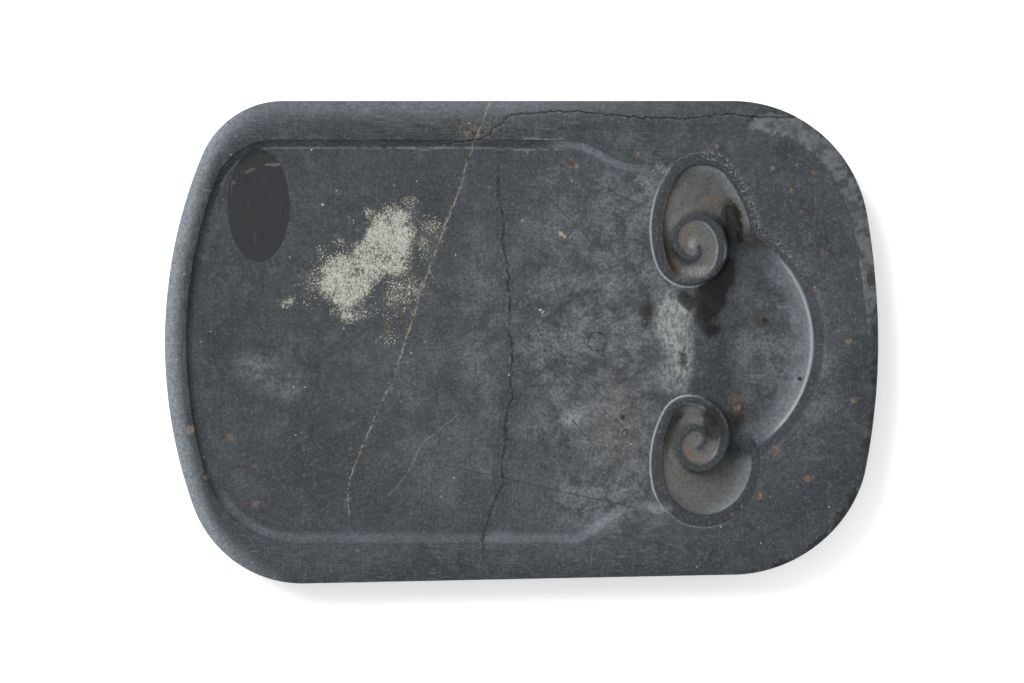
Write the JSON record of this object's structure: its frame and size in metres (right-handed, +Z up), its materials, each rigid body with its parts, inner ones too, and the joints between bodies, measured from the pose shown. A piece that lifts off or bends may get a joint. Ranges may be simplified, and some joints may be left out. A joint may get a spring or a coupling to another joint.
{
  "type": "inkstone",
  "caption": "Slate inkstone: a block with a raised rim round a sunk grinding floor, which dips at one end into a cloud-shaped ink well between standing scrolls.",
  "frame": {"origin": "on the flat underside, below the middle of the block's bounding box", "axes": "+X along the block towards the end with the ink well, +Y towards its back side, +Z up out of the grinding floor"},
  "size_m": [0.19, 0.1284, 0.02],
  "materials": {
    "slate": "honed and worn blue-grey slate, matte, with pale veins, a cream mineral patch and rust specks"
  },
  "bodies": {
    "root": {"inkstone_block": "slate"}
  },
  "joints": []
}
